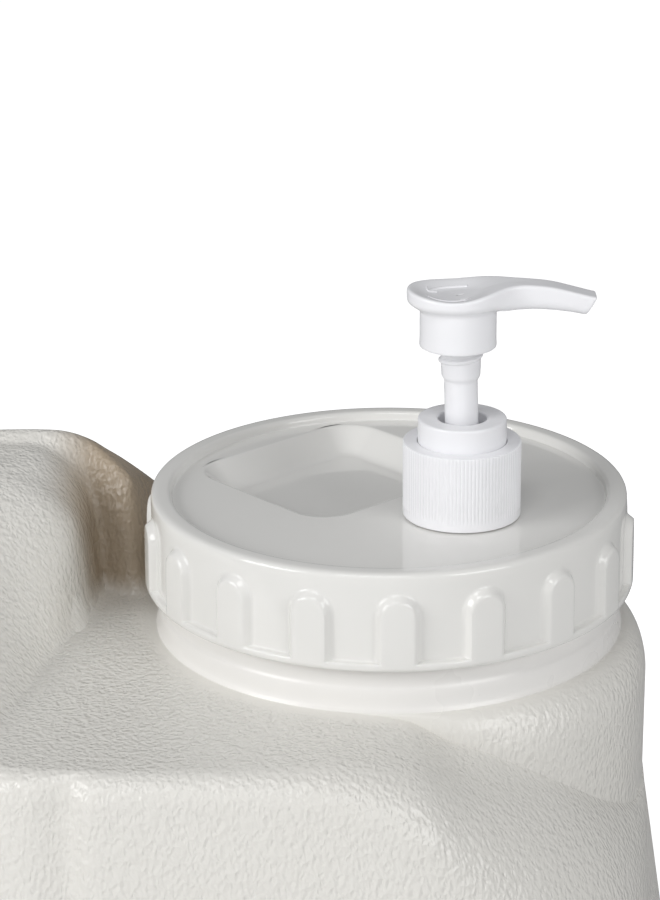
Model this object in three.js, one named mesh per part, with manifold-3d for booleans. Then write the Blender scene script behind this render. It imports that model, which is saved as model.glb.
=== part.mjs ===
// A wide-mouth moulded container with a screw lid, and a hand pump for oil mounted on the lid.
// Units are millimetres and +Z is up. The origin is the centre of the container's footprint,
// on the surface that it stands on.

import * as THREE from 'three';
import { mergeVertices } from 'three/addons/utils/BufferGeometryUtils.js';
import Module from 'manifold-3d';

const wasm = await Module();
wasm.setup();

// ---------------------------------------------------------------- driving dimensions

const CONTAINER = {
  wall: 2.5,
  lidTop: 190, // height of the lid's rim above the surface
  neckX: 50.76, // the neck's axis, from the middle of the footprint
  neckY: 6.58,
  shoulder: 150, // height of the flat shoulder that the neck rises from
  right: 74.3, // upper outline, measured from the neck's axis
  left: 170,
  front: 114, // measured from the line where the ends are widest
  back: 85,
  waistY: 8, // that line, from the neck's axis
  rightPower: 3, // how square the outline is on the right, and on the left
  leftPower: 2.6,
  leftRound: 112, // length of the rounded left end
  flare: 0.15, // outward lean of the walls
  footRound: 10,
  footRing: 14, // width of the flat ring that it rests on
  pushUp: 2.5, // height of the hollow under the base
  towerRound: 13, // rounding of the wall round the neck, where it meets the neck's foot
  around: 56, // columns of faces round the neck's axis
  shoulderSteps: 8, // rows of faces across the shoulder
};

// the neck's radii, and the heights of its bead and band above the shoulder
const NECK = {
  outer: 62.6,
  foot: 66.5,
  beadRadius: 65.8,
  beadFrom: 1.6,
  beadTo: 6.2,
  bandRadius: 65,
  bandFrom: 7.4,
  bandTo: 12.3,
  threadFrom: 13,
  threadCrest: 64.2,
  top: 181.8, // above the surface that the container stands on
};

// The moulded hump on the left, measured from the neck's axis and the shoulder.
const HUMP = {
  height: 40.8,
  footX: -84, // the foot of its right side passes through this place
  footY: 23,
  footLean: 0.204,
  sideRound: 45, // rounding of that side at the front, and at the back
  sideRoundBack: 22,
  toe: -97,
  crestFrom: 10,
  crestTo: 27,
  back: 76,
  leftEnd: 58,
  frontPower: 1.3, // how full the ridge's front end is
  // how full its side is: at the toe, in front of the neck's axis, and at the back
  sideFullness: [0.95, 0.2, 0.42],
  sideFullnessFrom: [-35, 5],
  sideFullnessTo: [6, 28],
  sideRoundTo: 25,
};

// The lower ridge that runs on from the hump behind the neck.
const LINK = {
  height: 42,
  footX: -69,
  footXEnd: -87,
  footY: 11,
  footLean: 0.667,
  rise: 14,
  fadeFrom: 27,
  fadeTo: 98,
  backFrom: 38,
  risePower: 1.25,
  lidFrom: 71, // keeps it clear of the lid
  lidTo: 80,
};

const GROOVE = { x: -86, halfWidth: 4.5, depth: 3.6 }; // upright groove in the front wall

const LID = {
  rim: 67,
  panelTop: -2.5, // heights from the rim's top
  panelThick: 3,
  skirtBottom: -27,
  inside: 65, // radius inside the skirt, and at the crest of its thread
  threadCrest: 63.2,
  lugs: 18,
  lugPhase: 10.9, // direction of one lug from +X, in degrees
  lugProud: 2.1,
  lugWidth: 10.4,
  lugTop: -5.5,
  lip: 69.3,
};

// the lid's tray, whose middle is measured from the neck's axis
const WELL = { x: -14.5, y: 19, turn: 42, halfLong: 31.5, halfShort: 28.5, round: 11, depth: 7, wall: 2.5 };

// the lid's own thread lies apart below the neck's
const LID_THREAD = { pitch: 6, turns: 1.25, widthRoot: 2.4, widthCrest: 1.3, bottom: 170.4, apart: 2.9 };

const PUMP = {
  x: 19.8, // from the neck's axis
  y: -17,
  collarRadius: 16.3,
  collarBottom: 0.4, // heights from the lid's panel
  collarTop: 21.7,
  collarHole: 12.55,
  collarInside: 14.1,
  ringTop: 28.3,
  skirtBottom: 48.9,
  skirtTop: 61.1,
  headRadius: 10.45,
  stemRadius: 4.6,
  boreRadius: 7,
};

const BOSS = { bore: 10.6, outer: 12.6, thread: 13.6, threadFrom: 5, top: 15.6 };
const PUMP_THREAD = { pitch: 25.4 / 6, turns: 1.5, widthRoot: 1.7, widthCrest: 0.8, apart: 2.05 };

const SPRING = { radius: 5, wire: 0.55, bottom: -36.5, top: -3.2, turns: 6.5 };
const DIP_TUBE = { outer: 2.9, bore: 2.1, top: -48.6, bottom: -179 };
// the spout's top line, underside line and half width, in the pump's own measures
const SPOUT_TOP = [[0, 66.4], [11, 67.8], [19, 67.3], [25, 66.5], [30, 65.3], [37.7, 63.4]];
const SPOUT_UNDER = [[0, 59.9], [11, 59.1], [19, 59.4], [25, 59.2], [31, 58.4], [34.4, 57.8]];
const SPOUT_HALF_WIDTH = [9.5, 7.2, 4.6, 3.9, 3.6, 3.1];

const GAP = 0.3; // between pieces that touch
const NECK_X = CONTAINER.neckX;
const NECK_Y = CONTAINER.neckY;
const PANEL = CONTAINER.lidTop + LID.panelTop;
const PUMP_X = NECK_X + PUMP.x;
const PUMP_Y = NECK_Y + PUMP.y;

// ---------------------------------------------------------------- materials

function plastic(color, roughness) {
  return new THREE.MeshStandardMaterial({ color, roughness, metalness: 0 });
}

const MATERIAL = {
  container: plastic(0xe6e3db, 0.55),
  lid: plastic(0xefece5, 0.25),
  pump: plastic(0xf4f4f6, 0.3),
  clearPlastic: plastic(0xe2e8ea, 0.35),
  gasket: plastic(0xd8d8d4, 0.8),
  steel: new THREE.MeshStandardMaterial({ color: 0xb8babd, roughness: 0.35, metalness: 1 }),
  glass: plastic(0xdfe8e6, 0.08),
};

// ---------------------------------------------------------------- geometry helpers

const rad = THREE.MathUtils.degToRad;
const lerp = THREE.MathUtils.lerp;
const clamp = THREE.MathUtils.clamp;
const smoothstep = THREE.MathUtils.smoothstep;

// Welds a geometry's vertices and turns its faces outwards.
function closed(geometry) {
  geometry.deleteAttribute('normal');
  geometry.deleteAttribute('uv');
  const welded = mergeVertices(geometry, 1e-4);
  const p = welded.attributes.position;
  const index = welded.index.array;
  const kept = [];
  const [a, b, c] = [new THREE.Vector3(), new THREE.Vector3(), new THREE.Vector3()];
  let volume = 0;
  for (let i = 0; i < index.length; i += 3) {
    const [ia, ib, ic] = [index[i], index[i + 1], index[i + 2]];
    if (ia === ib || ib === ic || ic === ia) continue;
    kept.push(ia, ib, ic);
    a.fromBufferAttribute(p, ia);
    b.fromBufferAttribute(p, ib);
    c.fromBufferAttribute(p, ic);
    volume += a.dot(b.cross(c));
  }
  if (volume < 0) kept.reverse();
  welded.setIndex(kept);
  return welded;
}

// A surface of revolution about Z from [radius, height] points that start and end on the axis,
// or return to the first point.
function revolve(points, segments = 32) {
  const profile = points.map(([r, z]) => new THREE.Vector2(r, z));
  return closed(new THREE.LatheGeometry(profile, segments).rotateX(Math.PI / 2));
}

function ringProfile(points) {
  return [...points, points[0]];
}

// A closed body through rings of points, each ring listed in the same order.
function loft(rings) {
  const count = rings[0].length;
  const position = rings.flat().flatMap((v) => [v.x, v.y, v.z]);
  const index = [];
  for (let i = 0; i < rings.length - 1; i++) {
    for (let j = 0; j < count; j++) {
      const a = i * count + j;
      const b = i * count + ((j + 1) % count);
      index.push(a, b, b + count, a, b + count, a + count);
    }
  }
  const last = (rings.length - 1) * count;
  for (let j = 1; j < count - 1; j++) {
    index.push(0, j + 1, j);
    index.push(last, last + j, last + j + 1);
  }
  const geometry = new THREE.BufferGeometry();
  geometry.setAttribute('position', new THREE.Float32BufferAttribute(position, 3));
  geometry.setIndex(index);
  return closed(geometry);
}

function toSolid(geometry) {
  const vertProperties = new Float32Array(geometry.attributes.position.array);
  const triVerts = new Uint32Array(geometry.index.array);
  return new wasm.Manifold(new wasm.Mesh({ numProp: 3, vertProperties, triVerts }));
}

function fromSolid(solid) {
  const mesh = solid.getMesh();
  const geometry = new THREE.BufferGeometry();
  geometry.setAttribute('position', new THREE.Float32BufferAttribute(mesh.vertProperties, 3));
  geometry.setIndex([...mesh.triVerts]);
  return geometry;
}

function join(...geometries) {
  return fromSolid(geometries.map(toSolid).reduce((sum, next) => sum.add(next)));
}

function cut(geometry, ...tools) {
  return fromSolid(tools.map(toSolid).reduce((rest, tool) => rest.subtract(tool), toSolid(geometry)));
}

function onCircle(radius, angle, z) {
  return new THREE.Vector3(radius * Math.cos(angle), radius * Math.sin(angle), z);
}

// A screw thread's ridge: a tapered section that climbs one pitch in each turn.
function threadRidge({ root, crest, bottom, pitch, turns, widthRoot, widthCrest, steps = 20 }) {
  const count = Math.round(turns * steps);
  const rings = [];
  for (let i = 0; i <= count; i++) {
    const angle = (i / count) * turns * 2 * Math.PI;
    const z = bottom + (angle / (2 * Math.PI)) * pitch;
    const runOut = smoothstep(Math.min(i, count - i) / 4, -0.4, 1);
    const tip = lerp(root, crest, runOut);
    const [halfRoot, halfCrest] = [widthRoot / 2, widthCrest / 2];
    const section = [[root, -halfRoot], [tip, -halfCrest], [tip, halfCrest], [root, halfRoot]];
    rings.push(section.map(([r, dz]) => onCircle(r, angle, z + dz)));
  }
  return loft(rings);
}

// ---------------------------------------------------------------- container

// Positive outside the container's outline. grow moves the outline outwards.
function outline(x, y, grow) {
  const depth = (y < CONTAINER.waistY ? CONTAINER.front : CONTAINER.back) + grow;
  const across = Math.abs(y - CONTAINER.waistY) / depth;
  if (x > 0) {
    const along = x / (CONTAINER.right + grow);
    return along ** CONTAINER.rightPower + across ** CONTAINER.rightPower - 1;
  }
  const straight = CONTAINER.left - CONTAINER.leftRound;
  const along = Math.max(0, -x - straight) / (CONTAINER.leftRound + grow);
  return along ** CONTAINER.leftPower + across ** CONTAINER.leftPower - 1;
}

// Distance from the neck's axis to the outline, along a direction.
function outlineRadius(angle, grow) {
  let inside = 0;
  let outside = 400;
  for (let i = 0; i < 40; i++) {
    const r = (inside + outside) / 2;
    if (outline(r * Math.cos(angle), r * Math.sin(angle), grow) < 0) inside = r;
    else outside = r;
  }
  return inside;
}

// The shoulder by direction from the neck's axis, in degrees. run and drop are the width and height
// of its rounded edge, slope is its fall towards that edge, fall is how far it lies below the flat
// shoulder at the foot of the wall round the neck, and tower is that wall's radius.
const EDGE = [
  { at: -180, run: 9, drop: 9, slope: 0, fall: 0, tower: 66.7 },
  { at: -115, run: 9, drop: 9, slope: 0, fall: 0, tower: 66.7 },
  { at: -100, run: 12, drop: 11, slope: 0, fall: 0, tower: 66.7 },
  { at: -87, run: 17, drop: 17, slope: 0.1, fall: 1.8, tower: 67.6 },
  { at: -78, run: 22, drop: 25, slope: 0.3, fall: 7, tower: 70.2 },
  { at: -70, run: 24, drop: 28, slope: 0.55, fall: 11, tower: 72.2 },
  { at: -60, run: 24, drop: 28, slope: 0.75, fall: 18.2, tower: 74 },
  { at: -50, run: 20, drop: 28, slope: 0.85, fall: 26.5, tower: 74.8 },
  { at: -40, run: 14, drop: 28, slope: 0.9, fall: 35, tower: 74.8 },
  { at: -30, run: 9, drop: 27, slope: 0.75, fall: 42, tower: 74.6 },
  { at: -20, run: 5, drop: 22, slope: 0.4, fall: 46.5, tower: 74.2 },
  { at: -8, run: 2, drop: 10, slope: 0, fall: 46, tower: 73.8 },
  { at: 0, run: 0.8, drop: 3, slope: 0, fall: 45, tower: 73.5 },
  { at: 15, run: 2, drop: 8, slope: 0, fall: 44, tower: 73.6 },
  { at: 40, run: 10, drop: 22, slope: 0.1, fall: 38, tower: 74 },
  { at: 80, run: 12, drop: 14, slope: 0, fall: 15, tower: 71 },
  { at: 105, run: 11, drop: 12, slope: 0, fall: 2, tower: 67.6 },
  { at: 120, run: 10, drop: 10, slope: 0, fall: 0, tower: 66.7 },
  { at: 180, run: 9, drop: 9, slope: 0, fall: 0, tower: 66.7 },
];

// The shoulder's measures in one direction, by smooth curves through the stations.
function edgeAt(angle) {
  const degrees = THREE.MathUtils.euclideanModulo(THREE.MathUtils.radToDeg(angle) + 180, 360) - 180;
  const next = Math.max(1, EDGE.findIndex((station) => station.at >= degrees));
  const [a, b] = [EDGE[next - 1], EDGE[next]];
  const span = b.at - a.at;
  const t = (degrees - a.at) / span;
  const slopeOf = (i, key) => {
    if (i === 0 || i === EDGE.length - 1) return 0;
    return (EDGE[i + 1][key] - EDGE[i - 1][key]) / (EDGE[i + 1].at - EDGE[i - 1].at);
  };
  const along = (key) => {
    const values = (2 * t ** 3 - 3 * t ** 2 + 1) * a[key] + (3 * t ** 2 - 2 * t ** 3) * b[key];
    const leaving = (t ** 3 - 2 * t ** 2 + t) * slopeOf(next - 1, key);
    const arriving = (t ** 3 - t ** 2) * slopeOf(next, key);
    return Math.max(0, values + span * (leaving + arriving));
  };
  const [run, drop, slope, fall, tower] = ['run', 'drop', 'slope', 'fall', 'tower'].map(along);
  return { run, drop, slope, fall, tower };
}

// Height of the hump and of the lower ridge above the shoulder, at a place from the neck's axis.
function hump(x, y) {
  const front = clamp((y - HUMP.toe) / (HUMP.crestFrom - HUMP.toe), 0, 1);
  const along = (1 - (1 - front) ** HUMP.frontPower) * (1 - smoothstep(y, HUMP.crestTo, HUMP.back));
  const footX = HUMP.footX + Math.min(0, y - HUMP.footY) * HUMP.footLean;
  const sideRound = lerp(HUMP.sideRound, HUMP.sideRoundBack, smoothstep(y, 0, HUMP.sideRoundTo));
  const inset = clamp((footX - x) / sideRound, 0, 1);
  const fullnessStep = (i) => smoothstep(y, HUMP.sideFullnessFrom[i], HUMP.sideFullnessTo[i]);
  const [atToe, atNeck, atBack] = HUMP.sideFullness;
  const fullness = lerp(lerp(atToe, atNeck, fullnessStep(0)), atBack, fullnessStep(1));
  const across = (1 - (1 - inset) ** 2) ** fullness;
  const end = clamp((x + CONTAINER.left) / HUMP.leftEnd, 0, 1);
  const leftEnd = Math.sqrt(1 - (1 - end) ** 2);
  const ridge = HUMP.height * along * across;
  const behind = y - LINK.footY + LINK.footLean * (Math.max(x, LINK.footXEnd) - LINK.footX);
  const rise = clamp(behind / LINK.rise, 0, 1);
  const backRise = (1 - (1 - rise) ** LINK.risePower) * (1 - smoothstep(y, LINK.backFrom, HUMP.back));
  const clearOfLid = smoothstep(Math.hypot(x, y), LINK.lidFrom, LINK.lidTo);
  const fade = smoothstep(-x, LINK.fadeFrom, LINK.fadeTo);
  const link = LINK.height * clearOfLid * backRise * fade;
  return Math.max(ridge, link) * leftEnd;
}

// The container's outer profile in one direction: from the middle of the base, out along it,
// up the wall, in over the shoulder, up the wall round the neck and up the neck.
function containerProfile(angle) {
  const edge = edgeAt(angle);
  const [ux, uy] = [Math.cos(angle), Math.sin(angle)];
  const edgeRadius = outlineRadius(angle, 0);
  const run = Math.max(0.3, Math.min(edge.run, edgeRadius - edge.tower - 0.4));
  const flatFrom = edgeRadius - run;
  const crease = CONTAINER.shoulder - edge.fall;
  const edgeTop = crease - edge.slope * (flatFrom - edge.tower);
  const bandBottom = edgeTop - edge.slope * run - edge.drop;
  const wallRadius = (z) => {
    const r = outlineRadius(angle, Math.max(0, bandBottom - z) * CONTAINER.flare);
    const off = (r * ux - GROOVE.x) / GROOVE.halfWidth;
    return uy < 0 ? r - GROOVE.depth * Math.exp(-(off ** 2)) : r;
  };
  const foot = wallRadius(CONTAINER.footRound);
  const profile = [];
  const innerFoot = foot - CONTAINER.footRound - CONTAINER.footRing;
  for (const t of [0, 0.95]) profile.push([t * innerFoot, CONTAINER.pushUp]);
  profile.push([innerFoot + 2, 0]);
  for (let i = 0; i <= 3; i++) {
    const turn = rad(i * 30);
    const radius = foot - CONTAINER.footRound * (1 - Math.sin(turn));
    profile.push([radius, CONTAINER.footRound * (1 - Math.cos(turn))]);
  }
  for (const t of [0.5, 1]) {
    const z = lerp(CONTAINER.footRound, bandBottom, t);
    profile.push([wallRadius(z), z]);
  }
  const groove = edgeRadius - wallRadius(bandBottom);
  for (const t of [0.75, 0.5, 0.25, 0]) {
    const turn = (Math.PI / 2) * t;
    const radius = edgeRadius - run * (1 - Math.sin(turn)) - groove * Math.sin(turn);
    const z = edgeTop - edge.slope * run * Math.sin(turn) - edge.drop * (1 - Math.cos(turn));
    profile.push([radius, z + hump(radius * ux, radius * uy)]);
  }
  for (let i = 1; i <= CONTAINER.shoulderSteps; i++) {
    const radius = lerp(flatFrom, edge.tower, i / CONTAINER.shoulderSteps);
    const z = edgeTop + edge.slope * (flatFrom - radius);
    profile.push([radius, z + hump(radius * ux, radius * uy)]);
  }
  const rise = Math.min(CONTAINER.towerRound, edge.fall);
  for (const t of [1, 0.67, 0.33, 0]) {
    const turn = (Math.PI / 2) * t;
    const radius = NECK.foot + (edge.tower - NECK.foot) * Math.sin(turn);
    const z = CONTAINER.shoulder - rise * (1 - Math.cos(turn));
    profile.push([radius, t === 1 ? Math.max(z, crease + 0.1) : z + 0.1 * (1 - t)]);
  }
  const shoulder = CONTAINER.shoulder;
  profile.push([NECK.beadRadius, shoulder + NECK.beadFrom]);
  profile.push([NECK.beadRadius, shoulder + NECK.beadTo]);
  profile.push([NECK.bandRadius, shoulder + NECK.bandFrom]);
  profile.push([NECK.bandRadius, shoulder + NECK.bandTo]);
  profile.push([NECK.outer, shoulder + NECK.threadFrom]);
  profile.push([NECK.outer, NECK.top]);
  return profile;
}

// The container's skin, as a grid of rings, and the same grid moved inwards by the wall.
function containerBody() {
  const outer = [];
  for (let j = 0; j < CONTAINER.around; j++) {
    const angle = (j / CONTAINER.around) * 2 * Math.PI;
    outer.push(containerProfile(angle).map(([r, z]) => onCircle(r, angle, z)));
  }
  const rows = outer[0].length;
  const inner = outer.map((column, j) => column.map((v, i) => {
    const nextAround = outer[(j + 1) % CONTAINER.around][i];
    const lastAround = outer[(j + CONTAINER.around - 1) % CONTAINER.around][i];
    const up = column[Math.min(i + 1, rows - 1)].clone().sub(column[Math.max(i - 1, 0)]);
    if (i === 0) return new THREE.Vector3(0, 0, v.z + CONTAINER.wall);
    const normal = nextAround.clone().sub(lastAround).cross(up).normalize();
    return v.clone().addScaledVector(normal, -CONTAINER.wall);
  }));
  for (const column of inner) column[rows - 1].z = NECK.top;
  const position = [];
  for (let i = 0; i < rows; i++) {
    for (const column of outer) position.push(...column[i].toArray());
  }
  for (let i = rows - 1; i >= 0; i--) {
    for (const column of inner) position.push(...column[i].toArray());
  }
  const index = [];
  for (let i = 0; i < 2 * rows - 1; i++) {
    for (let j = 0; j < CONTAINER.around; j++) {
      const a = i * CONTAINER.around + j;
      const b = i * CONTAINER.around + ((j + 1) % CONTAINER.around);
      index.push(a, b, b + CONTAINER.around, a, b + CONTAINER.around, a + CONTAINER.around);
    }
  }
  const geometry = new THREE.BufferGeometry();
  geometry.setAttribute('position', new THREE.Float32BufferAttribute(position, 3));
  geometry.setIndex(index);
  return closed(geometry);
}

function makeContainer() {
  const ridge = threadRidge({
    ...LID_THREAD,
    root: NECK.outer - 0.3,
    crest: NECK.threadCrest,
    steps: 40,
  });
  return join(containerBody(), ridge);
}

// ---------------------------------------------------------------- lid

function lidShell() {
  const top = CONTAINER.lidTop;
  const under = LID.panelTop - LID.panelThick;
  const bottom = LID.skirtBottom;
  const profile = [
    [0, under], [LID.inside, under], [LID.inside, bottom + 2.6], [67.2, bottom],
    [LID.lip - 0.6, bottom + 0.3], [LID.lip, bottom + 1], [LID.lip, bottom + 2], [67.3, bottom + 2.5],
    [67.2, -4], [66.4, -1.3], [64.6, -0.05], [62.8, -0.05], [61.6, -0.9], [61, LID.panelTop],
    [0, LID.panelTop],
  ];
  return revolve(profile.map(([r, z]) => [r, top + z]), 48);
}

// One grip lug: an upright bar with a rounded top, on the lid's skirt.
function lug() {
  const half = LID.lugWidth / 2;
  const shape = new THREE.Shape();
  const bottom = LID.skirtBottom + 2;
  const shoulder = LID.lugTop - half;
  shape.moveTo(-half, bottom);
  shape.lineTo(half, bottom);
  shape.lineTo(half, shoulder);
  shape.absarc(0, shoulder, half, 0, Math.PI);
  const depth = 3.5;
  const geometry = new THREE.ExtrudeGeometry(shape, { depth, bevelEnabled: false, curveSegments: 4 });
  geometry.rotateX(Math.PI / 2).rotateZ(Math.PI / 2);
  geometry.translate(LID.rim + LID.lugProud + 0.5 - depth, 0, CONTAINER.lidTop);
  return geometry;
}

function wellOutline(shrink, z) {
  const long = WELL.halfLong - shrink;
  const short = WELL.halfShort - shrink;
  const round = Math.max(3, WELL.round - shrink);
  const points = [];
  for (let corner = 0; corner < 4; corner++) {
    const sx = corner === 0 || corner === 3 ? 1 : -1;
    const sy = corner < 2 ? 1 : -1;
    for (let i = 0; i <= 5; i++) {
      const angle = (corner + i / 5) * (Math.PI / 2);
      const u = sx * (long - round) + round * Math.cos(angle);
      const v = sy * (short - round) + round * Math.sin(angle);
      points.push(new THREE.Vector3(u, v, z));
    }
  }
  const place = new THREE.Matrix4().makeRotationZ(rad(WELL.turn)).setPosition(WELL.x, WELL.y, 0);
  return points.map((p) => p.applyMatrix4(place));
}

function makeLid() {
  const floor = PANEL - WELL.depth;
  const tubFoot = wellOutline(WELL.depth - WELL.wall, floor - WELL.wall);
  const tub = loft([tubFoot, wellOutline(-WELL.wall, PANEL - 1)]);
  const hollow = loft([wellOutline(WELL.depth, floor), wellOutline(-2, PANEL + 2)]);
  const innerThread = threadRidge({
    ...LID_THREAD,
    root: LID.inside + 0.4,
    crest: LID.threadCrest,
    bottom: LID_THREAD.bottom - LID_THREAD.apart,
    steps: 40,
  });
  const boss = revolve([
    [0, PANEL - 1], [BOSS.outer + 0.8, PANEL - 1], [BOSS.outer + 0.8, PANEL + 0.6],
    [BOSS.outer, PANEL + 1.4], [BOSS.outer, PANEL + BOSS.top - 0.6],
    [BOSS.outer - 0.6, PANEL + BOSS.top], [0, PANEL + BOSS.top],
  ], 28);
  const bossThread = threadRidge({
    ...PUMP_THREAD,
    root: BOSS.outer - 0.3,
    crest: BOSS.thread,
    bottom: PANEL + BOSS.threadFrom,
  });
  const bore = revolve([
    [0, PANEL - 10], [BOSS.bore, PANEL - 10], [BOSS.bore, PANEL + 30], [0, PANEL + 30],
  ], 28);
  for (const part of [boss, bossThread, bore]) part.translate(PUMP.x, PUMP.y, 0);
  const lugs = [];
  for (let i = 0; i < LID.lugs; i++) {
    lugs.push(closed(lug().rotateZ(rad(LID.lugPhase + (i * 360) / LID.lugs))));
  }
  return cut(join(lidShell(), tub, innerThread, boss, bossThread, ...lugs), hollow, bore);
}

function makeLidGasket() {
  const [low, high] = [NECK.top + GAP, PANEL - LID.panelThick - GAP];
  return revolve(ringProfile([[58.8, low], [NECK.outer, low], [NECK.outer, high], [58.8, high]]), 40);
}

// ---------------------------------------------------------------- pump
// Heights in this section are measured from the top of the lid's panel, on the pump's axis.

function makeCollar() {
  const r = PUMP.collarRadius;
  const [low, high] = [PUMP.collarBottom, PUMP.collarTop];
  const body = revolve(ringProfile([
    [PUMP.collarInside, low], [r - 0.3, low], [r, low + 0.6], [r, high - 1], [r - 1, high],
    [PUMP.collarHole, high], [PUMP.collarHole, 20], [PUMP.collarInside, 20],
  ]), 36);
  const thread = threadRidge({
    ...PUMP_THREAD,
    root: PUMP.collarInside + 0.3,
    crest: 13,
    bottom: BOSS.threadFrom - PUMP_THREAD.apart,
  });
  return join(body, thread);
}

function makeCollarGasket() {
  return revolve(ringProfile([[8.9, 15.9], [12.4, 15.9], [12.4, 16.9], [8.9, 16.9]]), 32);
}

// The lock ring is held under the collar's top and stands up through it round the stem.
function makeLockRing() {
  return revolve(ringProfile([
    [4.9, 17.2], [6.6, 17.2], [6.6, 18.7], [13.6, 18.7], [13.6, 19.7], [12.1, 19.7], [12.1, 27.5],
    [11.4, PUMP.ringTop], [6.8, PUMP.ringTop], [6.4, 27.8], [6.4, 20.6], [4.9, 19.4],
  ]), 28);
}

// The cylinder that the piston works in, with its flange on top, its ball seat and tube socket below.
function makeHousing() {
  const bore = PUMP.boreRadius;
  return revolve(ringProfile([
    [bore, 18.4], [bore, -40.3], [3.2, -41], [3.2, -44.2], [1.5, -45.9], [1.5, -47.6], [3.05, -48],
    [3.05, -57], [4.3, -57], [4.5, -44], [8.4, -38], [8.4, 17.2], [12.4, 17.2], [12.4, 18.4],
  ]), 24);
}

function makeBallCage() {
  return revolve(ringProfile([
    [1.9, -40], [6.7, -40], [6.7, -36.6], [5.7, -36.6], [5.4, -38.4], [1.9, -38.4],
  ]), 24);
}

function makeBall(radius, z) {
  return closed(new THREE.SphereGeometry(radius, 12, 8).rotateX(Math.PI / 2).translate(0, 0, z));
}

class Helix extends THREE.Curve {
  constructor(radius, bottom, top, turns) {
    super();
    Object.assign(this, { radius, bottom, top, turns });
  }

  getPoint(t, target = new THREE.Vector3()) {
    const angle = t * this.turns * 2 * Math.PI;
    const z = lerp(this.bottom, this.top, t);
    return target.set(this.radius * Math.cos(angle), this.radius * Math.sin(angle), z);
  }
}

function makeSpring() {
  const { radius, wire, turns } = SPRING;
  const section = new THREE.Shape().absarc(0, 0, wire, 0, 2 * Math.PI);
  const path = new Helix(radius, SPRING.bottom + wire, SPRING.top - wire, turns);
  return closed(new THREE.ExtrudeGeometry(section, {
    steps: Math.round(turns * 12), curveSegments: 3, bevelEnabled: false, extrudePath: path,
  }));
}

function makePiston() {
  return revolve(ringProfile([
    [3.25, 0], [5, 0], [6.3, -1.4], [6.95, -1.4], [6.5, 3], [6.5, 6],
    [6.95, 10], [6.3, 10], [5.4, 7], [3.25, 7],
  ]), 24);
}

function makePistonRod() {
  return revolve(ringProfile([
    [1.5, -2.6], [4.4, -2.6], [4.4, -1.2], [3.1, -0.6], [3.1, 11.4], [2.1, 11.7], [2.1, 20], [1.5, 20],
  ]), 24);
}

// The hollow stem, with the lock thread's bead just under the head.
function makeStem() {
  const r = PUMP.stemRadius;
  return revolve(ringProfile([
    [2.4, 12], [r, 12], [r, 39], [5.3, 40], [5.45, 43], [5.95, 43.6], [5.95, 44.6], [5.45, 45.2], [5.45, 51],
    [4.4, 51.6], [4.4, 58.6], [2.4, 58.6], [2.4, 55], [1.2, 53.4], [1.2, 52.6], [2.4, 51],
  ]), 20);
}

// The spout as a row of rounded sections from the head to its slanted tip.
function spoutBody() {
  const rings = SPOUT_TOP.map(([xTop, zTop], i) => {
    const [xLow, zLow] = SPOUT_UNDER[i];
    const ring = [];
    for (let j = 0; j < 12; j++) {
      const angle = (j / 12) * 2 * Math.PI;
      const t = (1 + Math.sin(angle)) / 2;
      const across = SPOUT_HALF_WIDTH[i] * Math.cos(angle);
      ring.push(new THREE.Vector3(lerp(xLow, xTop, t), across, lerp(zLow, zTop, t)));
    }
    return ring;
  });
  return loft(rings);
}

function spoutBore() {
  const points = SPOUT_TOP.map(([xTop, zTop], i) => {
    const [xLow, zLow] = SPOUT_UNDER[i];
    return new THREE.Vector3((xTop + xLow) / 2, 0, (zTop + zLow) / 2 - 0.3);
  });
  points.push(new THREE.Vector3(41, 0, 58.9));
  const path = new THREE.CatmullRomCurve3(points);
  const section = new THREE.Shape().absarc(0, 0, 1.6, 0, 2 * Math.PI);
  return closed(new THREE.ExtrudeGeometry(section, {
    steps: 14, curveSegments: 5, bevelEnabled: false, extrudePath: path,
  }));
}

function makeActuator() {
  const r = PUMP.headRadius;
  const skirt = revolve([
    [0, 59], [9.2, 59], [9.2, PUMP.skirtBottom], [r, PUMP.skirtBottom], [r - 0.15, PUMP.skirtTop], [0, 63],
  ], 36);
  const plate = revolve([
    [0, PUMP.skirtTop - 0.5], [r - 0.3, PUMP.skirtTop - 0.5], [12.2, 62.2], [13.2, 64], [12.6, 66.6], [9.5, 66.2],
    [0, 65.8],
  ], 36);
  plate.scale(1.02, 0.92, 1);
  const socket = revolve([
    [0, 59.5], [6.4, 59.5], [6.2, 51.4 + GAP], [0, 51.4 + GAP],
  ], 28);
  const stemHole = revolve([
    [0, 50], [4.55, 50], [4.55, 58.9], [1.6, 59.4], [1.6, 63], [0, 63],
  ], 28);
  return cut(join(skirt, plate, socket, spoutBody()), stemHole, spoutBore());
}

function makeDipTube() {
  const tube = revolve(ringProfile([
    [DIP_TUBE.bore, DIP_TUBE.bottom], [DIP_TUBE.outer, DIP_TUBE.bottom],
    [DIP_TUBE.outer, DIP_TUBE.top], [DIP_TUBE.bore, DIP_TUBE.top],
  ]), 16);
  const slant = closed(new THREE.BoxGeometry(20, 20, 10).rotateY(rad(40)));
  slant.translate(-3, 0, DIP_TUBE.bottom - 5);
  return cut(tube, slant);
}

// ---------------------------------------------------------------- assembly

const bottle = new THREE.Group();
const onNeck = new THREE.Group();
onNeck.position.set(NECK_X, NECK_Y, 0);
const onPump = new THREE.Group();
onPump.position.set(PUMP_X, PUMP_Y, PANEL);
bottle.add(onNeck, onPump);

function place(group, name, geometry, material) {
  const mesh = new THREE.Mesh(geometry, material);
  mesh.name = name;
  group.add(mesh);
}

place(onNeck, 'container', makeContainer(), MATERIAL.container);
place(onNeck, 'lid', makeLid(), MATERIAL.lid);
place(onNeck, 'lid_gasket', makeLidGasket(), MATERIAL.gasket);

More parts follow.
